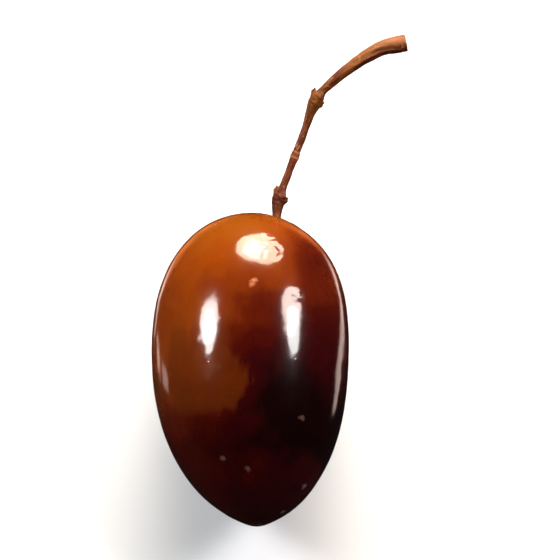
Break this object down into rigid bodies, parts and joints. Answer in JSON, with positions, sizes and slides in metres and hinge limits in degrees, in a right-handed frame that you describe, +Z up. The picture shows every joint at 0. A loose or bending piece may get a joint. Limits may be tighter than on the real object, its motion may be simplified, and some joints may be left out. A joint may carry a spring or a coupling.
{
  "type": "olive",
  "caption": "Large egg-shaped cured olive lying on its side, with a dimple at the stem end and a thin knotted stalk that bends aside to a thicker cut end.",
  "frame": {"origin": "on the small flat spot that the fruit rests on, straight under the axis of its thickest ring", "axes": "+Y along the fruit's length towards the stem end, +Z up, +X the side that the stalk bends to"},
  "size_m": [0.0224, 0.0433, 0.0164],
  "materials": {
    "olive_skin": "wet glossy olive skin, golden brown at the stem end and deep maroon to black below",
    "olive_stalk": "satin reddish-brown bark, paler where it was cut"
  },
  "bodies": {
    "root": {"fruit": "olive_skin", "stalk": "olive_stalk"}
  },
  "joints": []
}
